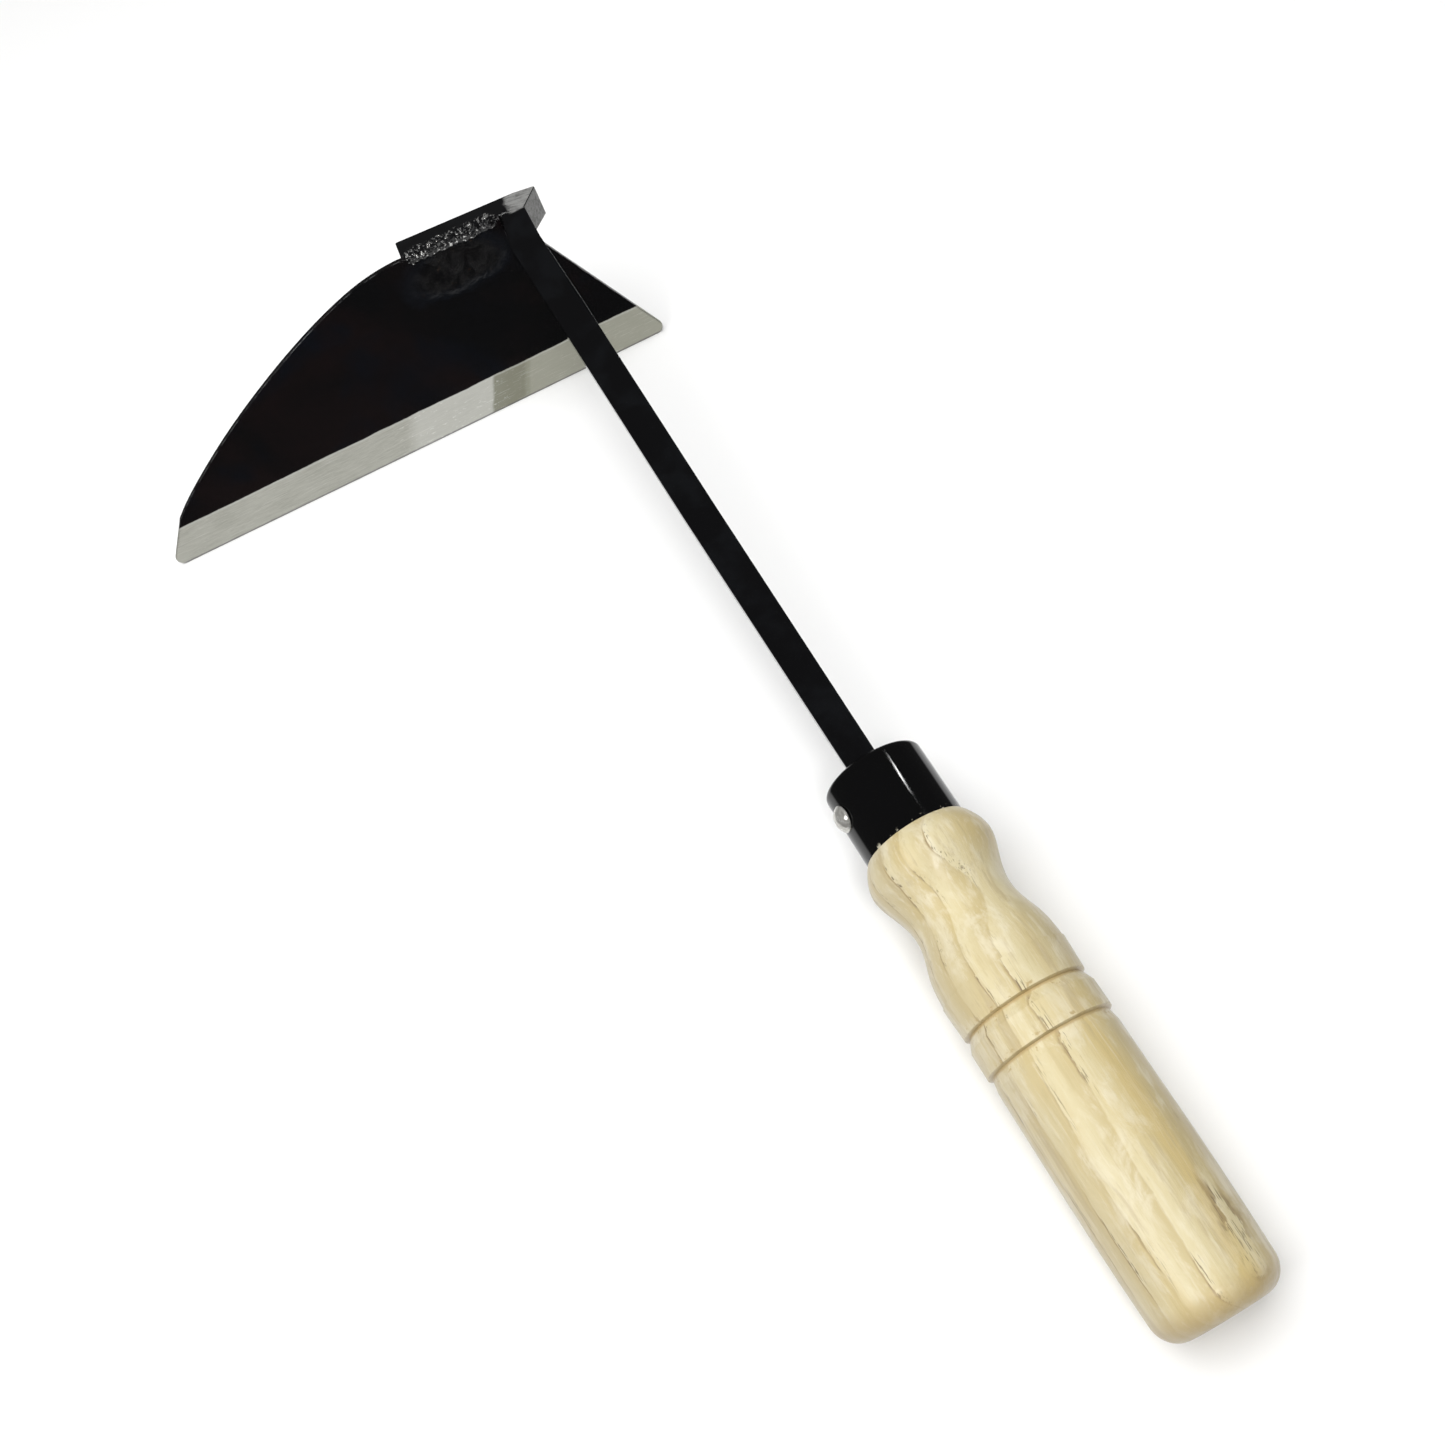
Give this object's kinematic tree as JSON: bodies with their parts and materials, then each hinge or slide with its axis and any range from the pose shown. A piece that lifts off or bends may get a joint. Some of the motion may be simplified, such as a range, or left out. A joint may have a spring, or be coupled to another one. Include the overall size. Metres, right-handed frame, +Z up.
{
  "type": "draw hoe",
  "caption": "Short-handled draw hoe: half-moon lacquered blade with a ground straight edge, welded to a flat forged neck riveted into a turned wooden handle.",
  "frame": {"origin": "middle of the footprint of the hoe as it rests on the ground, on its cutting edge and the rim of its butt", "axes": "+Z up, +X from the blade to the butt, +Y to the right seen from the butt"},
  "size_m": [0.3765, 0.182, 0.0641],
  "materials": {
    "lacquered_steel": "gloss",
    "blade_steel": "gloss",
    "weld": "gloss",
    "ferrule_black": "gloss",
    "nickel": "polished",
    "pale_wood": "satin lacquer"
  },
  "bodies": {
    "root": {"blade": "blade_steel", "neck": "lacquered_steel", "seam_weld": "weld", "rear_weld": "weld", "ferrule": "ferrule_black", "rivet": "nickel", "handle": "pale_wood"}
  },
  "joints": []
}
